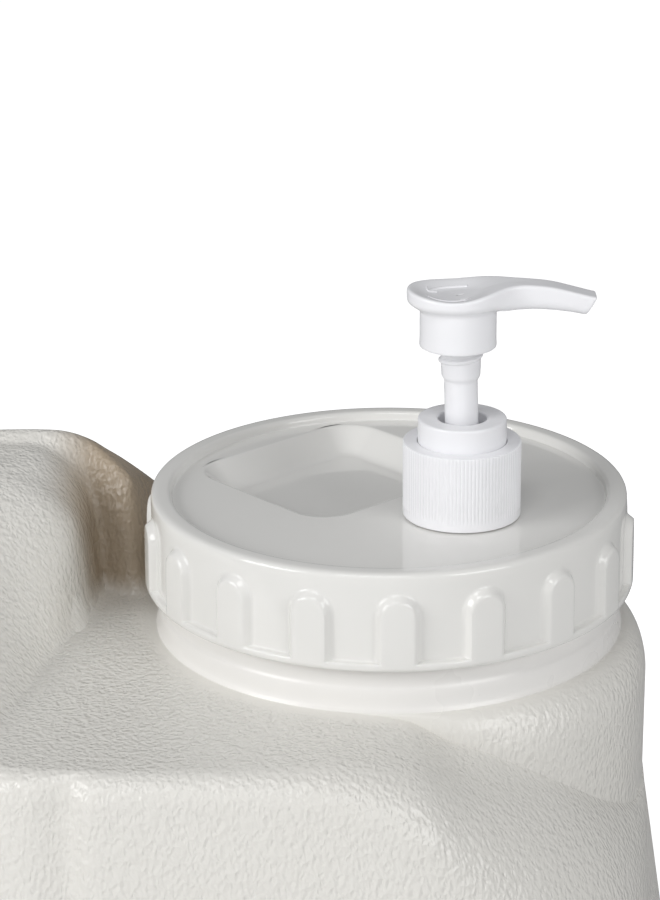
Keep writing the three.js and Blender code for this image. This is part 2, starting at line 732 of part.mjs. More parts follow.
place(onPump, 'collar', makeCollar(), MATERIAL.pump);
place(onPump, 'collar_gasket', makeCollarGasket(), MATERIAL.gasket);
place(onPump, 'lock_ring', makeLockRing(), MATERIAL.pump);
place(onPump, 'pump_housing', makeHousing(), MATERIAL.clearPlastic);
place(onPump, 'ball_cage', makeBallCage(), MATERIAL.clearPlastic);
place(onPump, 'inlet_ball', makeBall(2.5, -43.8), MATERIAL.glass);
place(onPump, 'return_spring', makeSpring(), MATERIAL.steel);
place(onPump, 'piston', makePiston(), MATERIAL.clearPlastic);
place(onPump, 'piston_rod', makePistonRod(), MATERIAL.pump);
place(onPump, 'stem', makeStem(), MATERIAL.pump);
place(onPump, 'outlet_ball', makeBall(1.9, 55.08), MATERIAL.glass);
place(onPump, 'actuator', makeActuator(), MATERIAL.pump);
place(onPump, 'dip_tube', makeDipTube(), MATERIAL.clearPlastic);

export default bottle;
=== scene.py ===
"""A wide-mouth oil container with a screw lid and a hand pump.

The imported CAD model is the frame. Finer meshes stand for its pieces, and every surface gets a
procedural plastic, foam, steel or glass. Mesh sizes are in millimetres and become metres when a
mesh is made.
"""

import math

import bmesh
import bpy
import numpy as np
from mathutils import Matrix, Vector


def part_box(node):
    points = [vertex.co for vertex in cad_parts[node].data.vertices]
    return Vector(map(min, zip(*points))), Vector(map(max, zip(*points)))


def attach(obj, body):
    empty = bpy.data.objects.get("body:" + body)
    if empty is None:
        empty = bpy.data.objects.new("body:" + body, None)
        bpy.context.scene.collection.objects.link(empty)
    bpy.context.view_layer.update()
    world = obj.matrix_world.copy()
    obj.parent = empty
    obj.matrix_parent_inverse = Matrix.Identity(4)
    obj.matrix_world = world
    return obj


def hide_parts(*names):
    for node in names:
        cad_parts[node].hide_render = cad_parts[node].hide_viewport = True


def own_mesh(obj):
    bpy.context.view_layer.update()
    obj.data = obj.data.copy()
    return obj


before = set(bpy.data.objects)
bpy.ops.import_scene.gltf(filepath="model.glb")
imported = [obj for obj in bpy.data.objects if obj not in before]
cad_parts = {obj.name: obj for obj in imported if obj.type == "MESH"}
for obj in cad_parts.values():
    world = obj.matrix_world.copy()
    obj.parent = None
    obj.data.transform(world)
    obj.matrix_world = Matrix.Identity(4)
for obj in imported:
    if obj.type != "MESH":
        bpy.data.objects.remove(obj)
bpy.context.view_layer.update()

MM = 0.001
TAU = 2 * math.pi


def box_mm(node):
    """Lowest and highest corner of a CAD node, in millimetres."""
    low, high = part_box(node)
    return np.array(low) / MM, np.array(high) / MM


def axis_of(node):
    """The upright axis through the middle of a CAD node, as x and y."""
    low, high = box_mm(node)
    return (low[:2] + high[:2]) / 2


# ---------------------------------------------------------------- places taken from the frame

NECK_AXIS = axis_of("lid")
PUMP_AXIS = axis_of("collar")
COLLAR_BOTTOM = 0.4
PANEL = box_mm("collar")[0][2] - COLLAR_BOTTOM
PANEL_DEPTH = 2.5
LID_TOP = PANEL + PANEL_DEPTH
NECK_TOP = LID_TOP - 8.2
SHOULDER = LID_TOP - 40

# ---------------------------------------------------------------- camera and stage


def make_camera():
    """The photograph's view: a long lens, looking down by 20 degrees past the lid's rim."""
    data = bpy.data.cameras.new("camera")
    data.lens = 112
    data.sensor_width = 36
    data.clip_end = 20
    camera = bpy.data.objects.new("camera", data)
    bpy.context.scene.collection.objects.link(camera)
    rim = Vector((NECK_AXIS[0], NECK_AXIS[1], LID_TOP)) * MM
    from_rim = Vector((-16.44, -738.94, 279.61)) * MM
    tilt = Matrix.Rotation(math.radians(90 - 20.03), 4, "X")
    roll = Matrix.Rotation(math.radians(-0.42), 4, "Z")
    camera.matrix_world = Matrix.Translation(rim + from_rim) @ tilt @ roll
    bpy.context.scene.camera = camera


def area_light(name, place, target, size, power, colour=(1, 1, 1)):
    data = bpy.data.lights.new(name, "AREA")
    data.shape = "RECTANGLE"
    data.size, data.size_y = size
    data.energy = power
    data.color = colour
    light = bpy.data.objects.new(name, data)
    bpy.context.scene.collection.objects.link(light)
    light.location = place
    light.rotation_euler = (Vector(target) - Vector(place)).to_track_quat("-Z", "Y").to_euler()
    return light


def mix_by_camera(tree, seen, lit):
    """One shader for what the camera sees directly, and another for all other rays."""
    path = tree.nodes.new("ShaderNodeLightPath")
    blend = tree.nodes.new("ShaderNodeMixShader")
    tree.links.new(path.outputs["Is Camera Ray"], blend.inputs["Fac"])
    tree.links.new(lit.outputs[0], blend.inputs[1])
    tree.links.new(seen.outputs[0], blend.inputs[2])
    return blend


def make_stage():
    """A pale floor and a white surround, with soft light from the front left."""
    scene = bpy.context.scene
    scene.view_settings.view_transform = "Standard"
    world = bpy.data.worlds.new("studio")
    scene.world = world
    world.use_nodes = True
    tree = world.node_tree
    tree.nodes.clear()
    out = tree.nodes.new("ShaderNodeOutputWorld")
    seen = tree.nodes.new("ShaderNodeBackground")
    seen.inputs["Color"].default_value = (1, 1, 1, 1)
    seen.inputs["Strength"].default_value = 1.0
    lit = tree.nodes.new("ShaderNodeBackground")
    lit.inputs["Color"].default_value = (0.97, 0.98, 1.0, 1)
    lit.inputs["Strength"].default_value = 0.22
    tree.links.new(mix_by_camera(tree, seen, lit).outputs[0], out.inputs["Surface"])

    bpy.ops.mesh.primitive_plane_add(size=12, location=(0, 0, 0))
    floor = bpy.context.object
    floor.name = "floor"
    floor.visible_glossy = False
    floor.data.materials.append(floor_material())

    middle = (0.03, 0, 0.16)
    area_light("key", (-1.55, -0.95, 0.95), middle, (1.0, 1.0), 19)
    area_light("fill", (1.27, -1.38, 0.92), middle, (1.0, 1.0), 12)
    area_light("front", (-0.2, -1.3, 2.0), middle, (1.0, 0.8), 9.5)


def floor_material():
    """Pale paint, lifted for the camera so that the surround is white but contact shadows stay."""
    material, tree, shader = new_material("floor_paint")
    shader.inputs["Base Color"].default_value = (0.9, 0.9, 0.9, 1)
    shader.inputs["Roughness"].default_value = 0.9
    lift = tree.nodes.new("ShaderNodeEmission")
    lift.inputs["Strength"].default_value = 0.75
    both = tree.nodes.new("ShaderNodeAddShader")
    tree.links.new(shader.outputs[0], both.inputs[0])
    tree.links.new(lift.outputs[0], both.inputs[1])
    out = tree.nodes["Material Output"]
    tree.links.new(mix_by_camera(tree, both, shader).outputs[0], out.inputs["Surface"])
    return material


# ---------------------------------------------------------------- mesh helpers


def smoothstep(x, low, high):
    t = np.clip((np.asarray(x, float) - low) / (high - low), 0, 1)
    return t * t * (3 - 2 * t)


def mix(a, b, t):
    return a + (b - a) * t


def angles(columns):
    return np.arange(columns) / columns * TAU


def rounded(points, steps=5):
    """A profile of [radius, height, fillet] corners, each fillet replaced by a short curve."""
    out = []
    for k, point in enumerate(points):
        here = np.array(point[:2], float)
        fillet = point[2] if len(point) > 2 else 0
        if fillet == 0 or k in (0, len(points) - 1):
            out.append(here)
            continue
        before = np.array(points[k - 1][:2], float) - here
        after = np.array(points[k + 1][:2], float) - here
        a = here + before * min(fillet / np.linalg.norm(before), 0.49)
        b = here + after * min(fillet / np.linalg.norm(after), 0.49)
        for t in np.linspace(0, 1, steps + 1):
            out.append((1 - t) ** 2 * a + 2 * t * (1 - t) * here + t * t * b)
    return np.array(out)


def filled(profile, gap):
    """The profile with points added, so that none lies further than gap from the next."""
    out = [profile[0]]
    for a, b in zip(profile[:-1], profile[1:]):
        count = max(1, math.ceil(np.linalg.norm(b - a) / gap))
        out += [mix(a, b, t) for t in np.linspace(0, 1, count + 1)[1:]]
    return np.array(out)


def lathe(profile, columns):
    """Rings of a surface of revolution: rows of the profile, columns round the axis."""
    angle = angles(columns)
    r = profile[:, 0][:, None]
    z = np.repeat(profile[:, 1][:, None], columns, 1)
    return np.stack([r * np.cos(angle), r * np.sin(angle), z], -1)


def skin(rings, closed=False, caps=False):
    """Vertices and faces over rings of points. It closes on its first ring, or ends in two caps."""
    rows, columns = rings.shape[:2]
    i = np.arange(rows if closed else rows - 1)[:, None]
    j = np.arange(columns)[None, :]
    near, far = i * columns, (i + 1) % rows * columns
    turn = (j + 1) % columns
    faces = np.stack([near + j, near + turn, far + turn, far + j], -1).reshape(-1, 4).tolist()
    verts = rings.reshape(-1, 3)
    if caps:
        middles = [rings[0].mean(0), rings[-1].mean(0)]
        first = len(verts)
        verts = np.concatenate([verts, middles])
        last = (rows - 1) * columns
        for a in range(columns):
            b = (a + 1) % columns
            faces.append([first, b, a])
            faces.append([first + 1, last + a, last + b])
    return verts, faces


def merged(*parts):
    """Several closed shells as one set of vertices and faces."""
    verts, faces, offset = [], [], 0
    for part_verts, part_faces in parts:
        verts.append(np.asarray(part_verts))
        faces += [[k + offset for k in face] for face in part_faces]
        offset += len(part_verts)
    return np.concatenate(verts), faces


def turned(points, columns=96, gap=None):
    """A closed ring turned from [radius, height, fillet] corners that don't reach the axis."""
    profile = rounded(points + [points[0]])[:-1]
    if gap:
        profile = filled(np.concatenate([profile, profile[:1]]), gap)[:-1]
    return skin(lathe(profile, columns), closed=True)


def turned_solid(points, columns=96):
    """A closed body turned from corners, with flat middles."""
    return skin(lathe(rounded(points), columns), caps=True)


def thread_ridge(root, crest, bottom, pitch, turns, width_root, width_crest):
    """A screw thread's ridge, which climbs one pitch in each turn and runs out at its ends."""
    steps = 96
    count = round(turns * steps)
    i = np.arange(count + 1)
    angle = i / count * turns * TAU
    z = bottom + angle / TAU * pitch
    tip = mix(root, crest, smoothstep(np.minimum(i, count - i) / steps * 5, -0.4, 1))
    flat = np.full(count + 1, float(root))
    section = [(flat, -width_root), (tip, -width_crest), (tip, width_crest), (flat, width_root)]
    rings = np.stack([
        np.stack([r * np.cos(angle), r * np.sin(angle), z + width / 2], -1) for r, width in section
    ], 1)
    return skin(rings, caps=True)


def build(part, name, axis, base=0.0):
    """A smooth-shaded object from a part whose points are measured from an axis and a height."""
    verts, faces = part
    mesh = bpy.data.meshes.new(name)
    points = (np.asarray(verts) + [axis[0], axis[1], base]) * MM
    mesh.from_pydata(points.tolist(), [], faces)
    bm = bmesh.new()
    bm.from_mesh(mesh)
    bmesh.ops.recalc_face_normals(bm, faces=bm.faces)
    bm.to_mesh(mesh)
    bm.free()
    piece = bpy.data.objects.new(name, mesh)
    bpy.context.scene.collection.objects.link(piece)
    soften(mesh)
    return piece


def soften(mesh, angle=38):
    for polygon in mesh.polygons:
        polygon.use_smooth = True
    mesh.set_sharp_from_angle(angle=math.radians(angle))


def combine(piece, operation, tool):
    """Applies a boolean with another object, which is then deleted."""
    modifier = piece.modifiers.new(operation.lower(), "BOOLEAN")
    modifier.operation = operation
    modifier.solver = "MANIFOLD"
    modifier.object = tool
    depsgraph = bpy.context.evaluated_depsgraph_get()
    mesh = bpy.data.meshes.new_from_object(piece.evaluated_get(depsgraph))
    piece.modifiers.clear()
    old = piece.data
    piece.data = mesh
    bpy.data.meshes.remove(old)
    bpy.data.objects.remove(tool)
    soften(mesh)


def settle(piece, body, material, nodes=()):
    """Puts a finished piece on its body, in place of its CAD nodes."""
    piece.data.materials.clear()
    piece.data.materials.append(material)
    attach(piece, body)
    if nodes:
        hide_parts(*nodes)


# ---------------------------------------------------------------- container

CONTAINER = {
    "wall": 2.5,
    "right": 74.3,
    "left": 170.0,
    "front": 114.0,
    "back": 85.0,
    "waist_y": 8.0,
    "left_round": 112.0,
    "flare": 0.15,
    "foot_round": 10.0,
    "foot_ring": 14.0,
    "push_up": 2.5,
}
HUMP = {
    "height": 40.8,
    "foot_x": -84.0,
    "foot_y": 23.0,
    "foot_lean": 0.204,
    "side_round": 45.0,
    "toe": -97.0,
    "crest_from": 10.0,
    "crest_to": 27.0,
    "back": 76.0,
    "left_end": 58.0,
}
LINK = {
    "height": 42.0,
    "foot_x": -69.0,
    "foot_y": 11.0,
    "foot_lean": 0.667,
    "rise": 14.0,
    "fade_from": 27.0,
    "fade_to": 98.0,
    "blend": 7.0,
}
GROOVE = {"x": -86.0, "half_width": 4.5, "depth": 3.6}
# how far the top of the wall that stands round the neck is rounded
TOWER_ROUND = 13.0
# direction from the neck's axis in degrees, then how the shoulder's edge turns down there: its width
# and height, and the slope before it; then how far the shoulder has fallen away there from the foot of
# the wall round the neck, and that wall's radius
EDGE = np.array([
    (-180, 9, 9, 0, 0, 66.7),
    (-115, 9, 9, 0, 0, 66.7),
    (-100, 12, 11, 0, 0, 66.7),
    (-87, 17, 17, 0.1, 1.8, 67.6),
    (-78, 22, 25, 0.3, 7, 70.2),
    (-70, 24, 28, 0.55, 11, 72.2),
    (-60, 24, 28, 0.75, 18.2, 74),
    (-50, 20, 28, 0.85, 26.5, 74.8),
    (-40, 14, 28, 0.9, 35, 74.8),
    (-30, 9, 27, 0.75, 42, 74.6),
    (-20, 5, 22, 0.4, 46.5, 74.2),
    (-8, 2, 10, 0, 46, 73.8),
    (0, 0.8, 3, 0, 45, 73.5),
    (15, 2, 8, 0, 44, 73.6),
    (40, 10, 22, 0.1, 38, 74),
    (80, 12, 14, 0, 15, 71),
    (105, 11, 12, 0, 2, 67.6),
    (120, 10, 10, 0, 0, 66.7),
    (180, 9, 9, 0, 0, 66.7),
])
NECK_FOOT = 66.5
NECK_OUTER = 62.6
LID_PITCH = 6.0
LID_TURNS = 1.25


def outline(x, y, grow):
    """Positive outside the container's outline, which grow moves outwards."""
    c = CONTAINER
    depth = np.where(y < c["waist_y"], c["front"], c["back"]) + grow
    across = np.abs(y - c["waist_y"]) / depth
    right = np.maximum(0, x / (c["right"] + grow)) ** 3 + across**3 - 1
    along = np.maximum(0, -x - (c["left"] - c["left_round"])) / (c["left_round"] + grow)
    left = along**2.6 + across**2.6 - 1
    return np.where(x > 0, right, left)


def outline_radius(angle, grow):
    """Distance from the neck's axis to the outline."""
    inside = np.zeros(np.broadcast(angle, grow).shape)
    outside = np.full_like(inside, 400.0)
    for _ in range(40):
        r = (inside + outside) / 2
        within = outline(r * np.cos(angle), r * np.sin(angle), grow) < 0
        inside = np.where(within, r, inside)
        outside = np.where(within, outside, r)
    return inside


def edge_at(angle):
    """The columns of EDGE in one direction, by smooth curves through the stations."""
    degrees = (np.degrees(angle) + 180) % 360 - 180
    at, values = EDGE[:, 0], EDGE[:, 1:]
    slopes = np.zeros_like(values)
    slopes[1:-1] = (values[2:] - values[:-2]) / (at[2:] - at[:-2])[:, None]
    k = np.clip(np.searchsorted(at, degrees), 1, len(at) - 1)
    span = at[k] - at[k - 1]
    t = ((degrees - at[k - 1]) / span)[:, None]
    span = span[:, None]
    start = (2 * t**3 - 3 * t**2 + 1) * values[k - 1] + (t**3 - 2 * t**2 + t) * span * slopes[k - 1]
    end = (3 * t**2 - 2 * t**3) * values[k] + (t**3 - t**2) * span * slopes[k]
    return np.maximum(0, start + end).T


def hump(x, y):
    """Height of the moulded hump above the shoulder, at a place measured from the neck's axis."""
    h, link = HUMP, LINK
    front = np.clip((y - h["toe"]) / (h["crest_from"] - h["toe"]), 0, 1)
    along = (1 - (1 - front) ** 1.3) * (1 - smoothstep(y, h["crest_to"], h["back"]))
    foot_x = h["foot_x"] + np.minimum(0, y - h["foot_y"]) * h["foot_lean"]
    inset = np.clip((foot_x - x) / mix(h["side_round"], 22, smoothstep(y, 0, 25)), 0, 1)
    fullness = mix(mix(0.95, 0.2, smoothstep(y, -35, 6)), 0.42, smoothstep(y, 5, 28))
    across = (1 - (1 - inset) ** 2) ** fullness
    left_end = np.sqrt(1 - (1 - np.clip((x + CONTAINER["left"]) / h["left_end"], 0, 1)) ** 2)
    ridge = h["height"] * along * across
    behind = y - link["foot_y"] + link["foot_lean"] * (np.maximum(x, -87) - link["foot_x"])
    rise = np.clip(behind / link["rise"], 0, 1)
    back_rise = (1 - (1 - rise) ** 1.25) * (1 - smoothstep(y, 38, h["back"]))
    clear_of_lid = smoothstep(np.hypot(x, y), 71, 80)
    fade = smoothstep(-x, link["fade_from"], link["fade_to"])
    bridge = link["height"] * clear_of_lid * back_rise * fade
    shared = np.minimum(ridge, bridge) / link["height"]
    apart = np.hypot(ridge - bridge, link["blend"] * np.minimum(1, 4 * shared))
    return (ridge + bridge + apart) / 2 * left_end


def container_skin(columns):
    """Rings from the middle of the base, out, up the wall, in over the shoulder and up the neck."""
    c = CONTAINER
    angle = angles(columns)
    ux, uy = np.cos(angle), np.sin(angle)
    level = np.ones(columns)
    run, drop, slope, fall, tower = edge_at(angle)
    edge_radius = outline_radius(angle, 0.0)
    run = np.minimum(run, edge_radius - tower - 0.1)
    flat_from = edge_radius - run
    edge_top = SHOULDER - fall - slope * (flat_from - tower)
    band_bottom = edge_top - slope * run - drop

    def wall_radius(z):
        r = outline_radius(angle, np.maximum(0, band_bottom - z) * c["flare"])
        off = (r * ux - GROOVE["x"]) / GROOVE["half_width"]
        return r - GROOVE["depth"] * np.exp(-off**2) * (uy < 0)

    rows = []
    foot = wall_radius(c["foot_round"] * level)
    inner_foot = foot - c["foot_round"] - c["foot_ring"]
    for t in np.linspace(0.02, 1, 12):
        rows.append((t * inner_foot, c["push_up"] * level))
    for t in np.linspace(0, 1, 6)[1:]:
        rows.append((inner_foot + 2 * t, c["push_up"] * (1 - smoothstep(t, 0, 1)) * level))
    for t in np.linspace(0, math.pi / 2, 10):
        radius = foot - c["foot_round"] * (1 - math.sin(t))
        rows.append((radius, c["foot_round"] * (1 - math.cos(t)) * level))
    for t in np.linspace(0, 1, 50)[1:]:
        z = mix(c["foot_round"], band_bottom, t)
        rows.append((wall_radius(z), z))
    edge_from = len(rows)
    groove = edge_radius - wall_radius(band_bottom)
    for t in np.linspace(math.pi / 2, 0, 30)[1:]:
        radius = edge_radius - run * (1 - math.sin(t)) - groove * math.sin(t)
        z = edge_top - slope * run * math.sin(t) - drop * (1 - math.cos(t))
        rows.append((radius, z + hump(radius * ux, radius * uy)))
    for t in np.linspace(0, 1, 100)[1:]:
        radius = mix(flat_from, tower, t)
        z = edge_top + slope * (flat_from - radius)
        rows.append((radius, z + hump(radius * ux, radius * uy)))
    crease = len(rows)
    rise = np.minimum(TOWER_ROUND, fall)
    for t in np.linspace(0, 1, 14)[1:]:
        rows.append((tower, SHOULDER - fall + (fall - rise) * t))
    for t in np.linspace(math.pi / 2, 0, 16)[1:]:
        radius = NECK_FOOT + (tower - NECK_FOOT) * math.sin(t)
        rows.append((radius, SHOULDER - rise * (1 - math.cos(t))))
    neck = rounded([
        (NECK_FOOT, SHOULDER), (65.8, SHOULDER + 1.6, 2.5), (65.8, SHOULDER + 6.2, 2),
        (65, SHOULDER + 7.4, 1.4), (65, SHOULDER + 12.3, 0.6), (NECK_OUTER, SHOULDER + 12.8, 0.6),
        (NECK_OUTER, NECK_TOP - 0.8, 0.3), (62.0, NECK_TOP),
    ])
    for r, z in filled(neck, 2)[1:]:
        rows.append((r * level, z * level))
    radii = np.array([row[0] for row in rows])
    heights = np.array([row[1] for row in rows])
    rings = np.stack([radii * ux, radii * uy, heights], -1)
    relaxed(rings, edge_from - 10, crease - 2, 6)
    return relaxed(rings, crease - 3, crease + 3, 2)


def relaxed(rings, first, last, passes):
    """Softens the rings between first and last."""
    for _ in range(passes):
        around = (np.roll(rings, 1, 1) + np.roll(rings, -1, 1)) / 2
        along = (rings[first - 1:last - 1] + rings[first + 1:last + 1]) / 2
        rings[first:last] = 0.5 * rings[first:last] + 0.25 * around[first:last] + 0.25 * along
    return rings


def ring_normals(rings):
    around = np.roll(rings, -1, 1) - np.roll(rings, 1, 1)
    along = np.gradient(rings, axis=0)
    normal = np.cross(around, along)
    return normal / np.maximum(np.linalg.norm(normal, axis=-1, keepdims=True), 1e-9)


def make_container():
    outer = container_skin(720)
    picks = np.unique(np.concatenate([np.arange(0, len(outer), 8), [len(outer) - 1]]))
    inner = (outer - CONTAINER["wall"] * ring_normals(outer))[picks]
    inner[-1, :, 2] = NECK_TOP
    inner[0, :, 2] = CONTAINER["push_up"] + CONTAINER["wall"]
    body = skin(np.concatenate([outer, inner[::-1]]), caps=True)
    ridge = thread_ridge(NECK_OUTER - 0.3, 64.2, LID_TOP - 19.6, LID_PITCH, LID_TURNS, 2.4, 1.3)
    piece = build(merged(body, ridge), "container_body", NECK_AXIS)
    settle(piece, "container", container_material(), ["container"])


# ---------------------------------------------------------------- lid

WELL = {
    "centre": (-14.5, 19.0),  # from the neck's axis
    "turn": 42.0,
    "half": (31.5, 28.5),
    "round": 11.0,
    "depth": 7.0,
    "wall": 2.5,
}
LUG = {"count": 18, "phase": 10.9, "half_width": 6.1, "top": -5.5, "proud": 2.1, "slope": 1.9}
LIP = {"radius": 69.3, "top": -24.7, "bottom": -27.0}
SKIRT_RADIUS = 67.1
PANEL_EDGE = 61.0
BOSS = {"bore": 10.6, "outer": 12.6, "thread": 13.6, "top": 15.6}
CLOSURE_PITCH = 25.4 / 6
CLOSURE_TURNS = 1.5


def well_reach(angle, grow):
    """Distance from the well's centre to its outline, moved outwards by grow."""
    turned_by = angle - math.radians(WELL["turn"])
    half = np.array(WELL["half"]) - WELL["round"]
    near, far = np.zeros_like(angle), np.full_like(angle, 60.0)
    for _ in range(40):
        r = (near + far) / 2
        u = np.abs(r * np.cos(turned_by)) - half[0]
        v = np.abs(r * np.sin(turned_by)) - half[1]
        outside = np.hypot(np.maximum(u, 0), np.maximum(v, 0)) + np.minimum(np.maximum(u, v), 0)
        within = outside - WELL["round"] < grow
        near = np.where(within, r, near)
        far = np.where(within, far, r)
    return near


def well_ring(angle, grow, z, share=1.0):
    r = well_reach(angle, grow) * share
    cx, cy = WELL["centre"]
    return np.stack([cx + r * np.cos(angle), cy + r * np.sin(angle), np.full_like(angle, z)], -1)


def circle_ring(angle, r, z):
    return np.stack([r * np.cos(angle), r * np.sin(angle), np.full_like(angle, z)], -1)


def between(first, last, count):
    """The rings between two others, without either of them."""
    return [mix(first, last, t) for t in np.linspace(0, 1, count + 2)[1:-1]]


def lug_proud(angle, z):
    """How far the grip lugs stand out of the skirt: upright bars with rounded tops."""
    spacing = 360 / LUG["count"]
    off = (np.degrees(angle) - LUG["phase"] + spacing / 2) % spacing - spacing / 2
    u = np.radians(off) * SKIRT_RADIUS
    above = np.maximum(0, z - (LUG["top"] - LUG["half_width"]))
    inside = LUG["half_width"] - np.hypot(u, above)
    return LUG["proud"] * smoothstep(inside, -0.2, LUG["slope"])


def lid_rings(columns):
    """Rings from the middle of the underside, out, down the skirt, up the lugs and in over the well."""
    angle = angles(columns)
    under = -PANEL_DEPTH - 3
    tub_floor = -PANEL_DEPTH - WELL["depth"] - WELL["wall"]
    rings = [well_ring(angle, -4.5, tub_floor, share) for share in (0.02, 0.4, 0.8, 0.95)]
    tub = rounded([(-6, tub_floor), (-4.5, tub_floor, 0.8), (0.85, under)])[1:]
    rings += [well_ring(angle, g, z) for g, z in tub]
    rings += between(well_ring(angle, 0.85, under), circle_ring(angle, 63.6, under), 5)
    inner_skirt = filled(rounded([
        (63.6, under), (65, under, 1.2), (65, LIP["bottom"] + 2.6, 0.5), (67.2, LIP["bottom"], 0.4),
        (LIP["radius"], LIP["bottom"], 1.2), (LIP["radius"], LIP["top"], 0.7), (67.3, LIP["top"], 0.9),
        (67.3, LIP["top"] + 1),
    ]), 2.5)
    for r, z in inner_skirt[:-1]:
        on_lip = z > LIP["top"] - 1.5 and r > SKIRT_RADIUS
        rings.append(circle_ring(angle, np.maximum(r, 67.3 + lug_proud(angle, z)) if on_lip else r, z))
    for z in np.linspace(LIP["top"] + 1, -3.4, 42):
        r = mix(67.3, SKIRT_RADIUS, smoothstep(z, LIP["top"], -4)) + lug_proud(angle, z)
        rings.append(circle_ring(angle, r, z))
    rim = rounded([
        (SKIRT_RADIUS, -3.2), (66.9, 0, 2.2), (61.5, 0, 1.3),
        (PANEL_EDGE, -PANEL_DEPTH, 0.5), (60.4, -PANEL_DEPTH),
    ], steps=7)
    rings += [circle_ring(angle, r, z) for r, z in filled(rim, 1.0)]
    floor = -PANEL_DEPTH - WELL["depth"]
    well = rounded([
        (1.1, -PANEL_DEPTH), (0, -PANEL_DEPTH, 1.0),
        (-WELL["depth"], floor, 2.2), (-WELL["depth"] - 3, floor),
    ], steps=7)
    rings += between(rings[-1], well_ring(angle, 1.1, -PANEL_DEPTH), 8)
    rings += [well_ring(angle, g, z) for g, z in filled(well, 1.2)]
    rings += [well_ring(angle, -WELL["depth"] - 3, floor, share) for share in (0.8, 0.5, 0.2, 0.02)]
    return np.array(rings)


def make_lid():
    inner_thread = thread_ridge(65.4, 63.2, -22.5, LID_PITCH, LID_TURNS, 2.4, 1.3)
    shell = skin(lid_rings(800), caps=True)
    piece = build(shell, "lid_shell", NECK_AXIS, LID_TOP)
    boss = turned_solid([
        (0.5, -1), (BOSS["outer"] + 0.8, -1), (BOSS["outer"] + 0.8, 0.6, 0.4), (BOSS["outer"], 1.4, 0.4),
        (BOSS["outer"], BOSS["top"], 0.6), (0.5, BOSS["top"]),
    ], 128)
    bore = turned_solid([(0.5, -10), (BOSS["bore"], -10), (BOSS["bore"], 30), (0.5, 30)], 128)
    boss_thread = thread_ridge(BOSS["outer"] - 0.3, BOSS["thread"], 5, CLOSURE_PITCH, CLOSURE_TURNS,
                               width_root=1.7, width_crest=0.8)
    combine(piece, "UNION", build(boss, "boss", PUMP_AXIS, PANEL))
    combine(piece, "UNION", build(boss_thread, "boss_thread", PUMP_AXIS, PANEL))
    combine(piece, "UNION", build(inner_thread, "lid_thread", NECK_AXIS, LID_TOP))
    combine(piece, "DIFFERENCE", build(bore, "bore", PUMP_AXIS, PANEL))
    settle(piece, "lid", finish_material("lid_plastic"), ["lid"])


# ---------------------------------------------------------------- pump
# Heights in this section are measured from the top of the lid's panel, on the pump's axis.

COLLAR = {"radius": 16.3, "bottom": 0.4, "top": 21.7, "ribs": 100, "rib_depth": 0.17, "band": 2.2}
STEM_RADIUS = 4.6
# the stem stands a little out of true: height, then how far it is off the pump's axis
HEAD_LEAN = -1.4
STEM_LEAN = np.array([(20, 0), (38, -0.5), (47, -0.6), (51, HEAD_LEAN)])


def make_collar():
    c = COLLAR
    profile = filled(rounded([
        (14.1, c["bottom"]), (c["radius"], c["bottom"], 0.5), (c["radius"], c["top"], 0.55),
        (12.4, c["top"], 0.15), (12.4, 20), (14.1, 20), (14.1, c["bottom"]),
    ]), 0.9)[:-1]
    rings = lathe(profile, c["ribs"] * 10)
    radius = np.hypot(rings[..., 0], rings[..., 1])
    across = np.abs(np.sin(np.arange(c["ribs"] * 10) / 10 * math.pi))
    fade = smoothstep(rings[..., 2], c["bottom"] + c["band"], c["bottom"] + c["band"] + 0.9)
    outside = smoothstep(radius, c["radius"] - 0.5, c["radius"] - 0.15)
    cut = c["rib_depth"] * (1 - across**0.7) * fade * outside
    rings[..., :2] *= (1 - cut / radius)[..., None]
    thread = thread_ridge(14.4, 13, 5 - 2.05, CLOSURE_PITCH, CLOSURE_TURNS, 1.7, 0.8)
    piece = build(merged(skin(rings, closed=True), thread), "collar_ribbed", PUMP_AXIS, PANEL)
    settle(piece, "collar", finish_material("pump_plastic"), ["collar"])


def make_lock_ring():
    part = turned([
        (5.3, 17.2), (6.6, 17.2), (6.6, 18.7), (13.6, 18.7), (13.6, 19.7), (12.2, 19.7, 0.2),
        (12.2, 28.3, 0.7), (7.1, 28.3, 0.3), (6.7, 27.9, 0.3), (6.7, 20.6, 0.3), (5.3, 19.4, 0.3),
    ], 128, 0.8)
    piece = build(part, "lock_ring_turned", PUMP_AXIS, PANEL)
    settle(piece, "pump_body", finish_material("pump_plastic"), ["lock_ring"])


def make_stem():
    """The hollow stem, with the lock thread's ridge winding round its shoulder."""
    profile = filled(rounded([
        (2.4, 12), (STEM_RADIUS, 12, 0.3), (STEM_RADIUS, 39.2, 0.5), (5.3, 40.4, 0.5), (5.5, 44, 1),
        (5.4, 51.2, 0.4), (4.4, 51.6, 0.3), (4.4, 58.6, 0.3), (2.4, 58.6), (2.4, 55), (1.2, 53.4, 0.2),
        (1.2, 52.6, 0.2), (2.4, 51), (2.4, 12),
    ]), 0.35)[:-1]
    columns = 144
    rings = lathe(profile, columns)
    radius = np.hypot(rings[..., 0], rings[..., 1])
    angle = angles(columns)
    proud = np.zeros_like(radius)
    for turn in range(2):
        middle = 43.0 + 3.6 * (angle / TAU + turn)
        ridge = 1 - smoothstep(np.abs(rings[..., 2] - middle), 0.25, 0.95)
        along = angle + turn * TAU
        ends = smoothstep(along, 0.0, 0.6) * (1 - smoothstep(along, 1.5 * TAU, 1.6 * TAU))
        proud = np.maximum(proud, 0.62 * ridge * ends)
    proud *= radius > 5
    rings[..., :2] *= (1 + proud / radius)[..., None]
    rings[..., 0] += np.interp(rings[..., 2], *STEM_LEAN.T)
    piece = build(skin(rings, closed=True), "stem_turned", PUMP_AXIS, PANEL)
    settle(piece, "head", finish_material("pump_plastic"), ["stem"])


